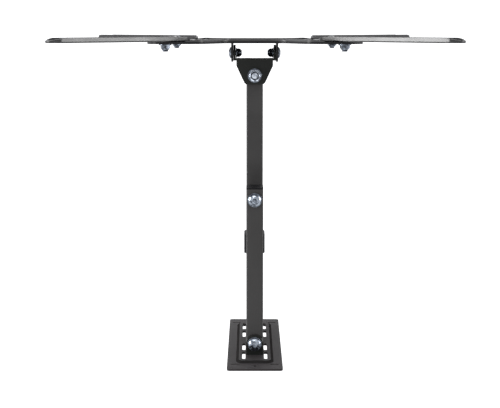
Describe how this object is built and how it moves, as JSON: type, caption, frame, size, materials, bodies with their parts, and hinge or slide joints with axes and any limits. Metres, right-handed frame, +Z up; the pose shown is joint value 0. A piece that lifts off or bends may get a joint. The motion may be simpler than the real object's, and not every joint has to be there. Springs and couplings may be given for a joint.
{
  "type": "swivel tv wall mount",
  "caption": "Full-motion television wall mount: slotted wall plate, double rear arm, single front arm, swivelling and tilting head and an X-shaped TV plate with tapered arms.",
  "frame": {"origin": "centre of the wall plate's back face, midway between its two end screw holes", "axes": "+Y into the wall, +Z up; the mount reaches out along -Y"},
  "size_m": [0.4286, 0.3815, 0.4286],
  "materials": {
    "plate_black": "satin powder coat",
    "bracket_black": "satin powder coat",
    "tube_charcoal": "fine textured powder coat",
    "tv_black": "satin powder coat",
    "nylon_black": "moulded nylon",
    "bright_zinc": "bright zinc plate"
  },
  "bodies": {
    "wall": {"wall_plate": "plate_black", "wall_bracket": "bracket_black", "wall_pivot_bolt": "bright_zinc", "wall_pivot_washers": "bright_zinc", "wall_pivot_nut": "bright_zinc"},
    "rear_arm": {"rear_tube_upper": "tube_charcoal", "rear_tube_lower": "tube_charcoal", "wall_bushings": "nylon_black", "wall_spacer": "bracket_black", "rear_end_caps": "nylon_black", "cable_clip": "nylon_black", "elbow_bolt": "bright_zinc", "elbow_washers": "bright_zinc", "elbow_nut": "bright_zinc", "elbow_spacers": "bracket_black"},
    "front_arm": {"front_tube": "tube_charcoal", "elbow_bushings": "nylon_black", "head_bushings": "nylon_black"},
    "head": {"head_bracket": "bracket_black", "head_bolt": "bright_zinc", "head_washers": "bright_zinc", "head_nut": "bright_zinc"},
    "tv_frame": {"tv_plate": "tv_black", "tv_arm_upper_left": "tv_black", "tv_arm_upper_right": "tv_black", "tv_arm_lower_left": "tv_black", "tv_arm_lower_right": "tv_black", "arm_bolts": "bright_zinc", "arm_nuts": "bright_zinc", "tilt_bolts": "bright_zinc", "tilt_washers": "bright_zinc", "tilt_nuts": "bright_zinc"}
  },
  "joints": [
    {"name": "wall_swivel", "type": "hinge", "parent": "wall", "child": "rear_arm", "pos_m": [0, -0.0185, 0], "axis": [0, 0, 1], "range_deg": [-90, 90]},
    {"name": "elbow_swivel", "type": "hinge", "parent": "rear_arm", "child": "front_arm", "pos_m": [0, -0.1915, 0], "axis": [0, 0, 1], "range_deg": [-98, 98]},
    {"name": "head_swivel", "type": "hinge", "parent": "front_arm", "child": "head", "pos_m": [0, -0.335, 0], "axis": [0, 0, 1], "range_deg": [-90, 90]},
    {"name": "head_tilt", "type": "hinge", "parent": "head", "child": "tv_frame", "pos_m": [0, -0.3615, 0], "axis": [1, 0, 0], "range_deg": [-15, 15]}
  ]
}
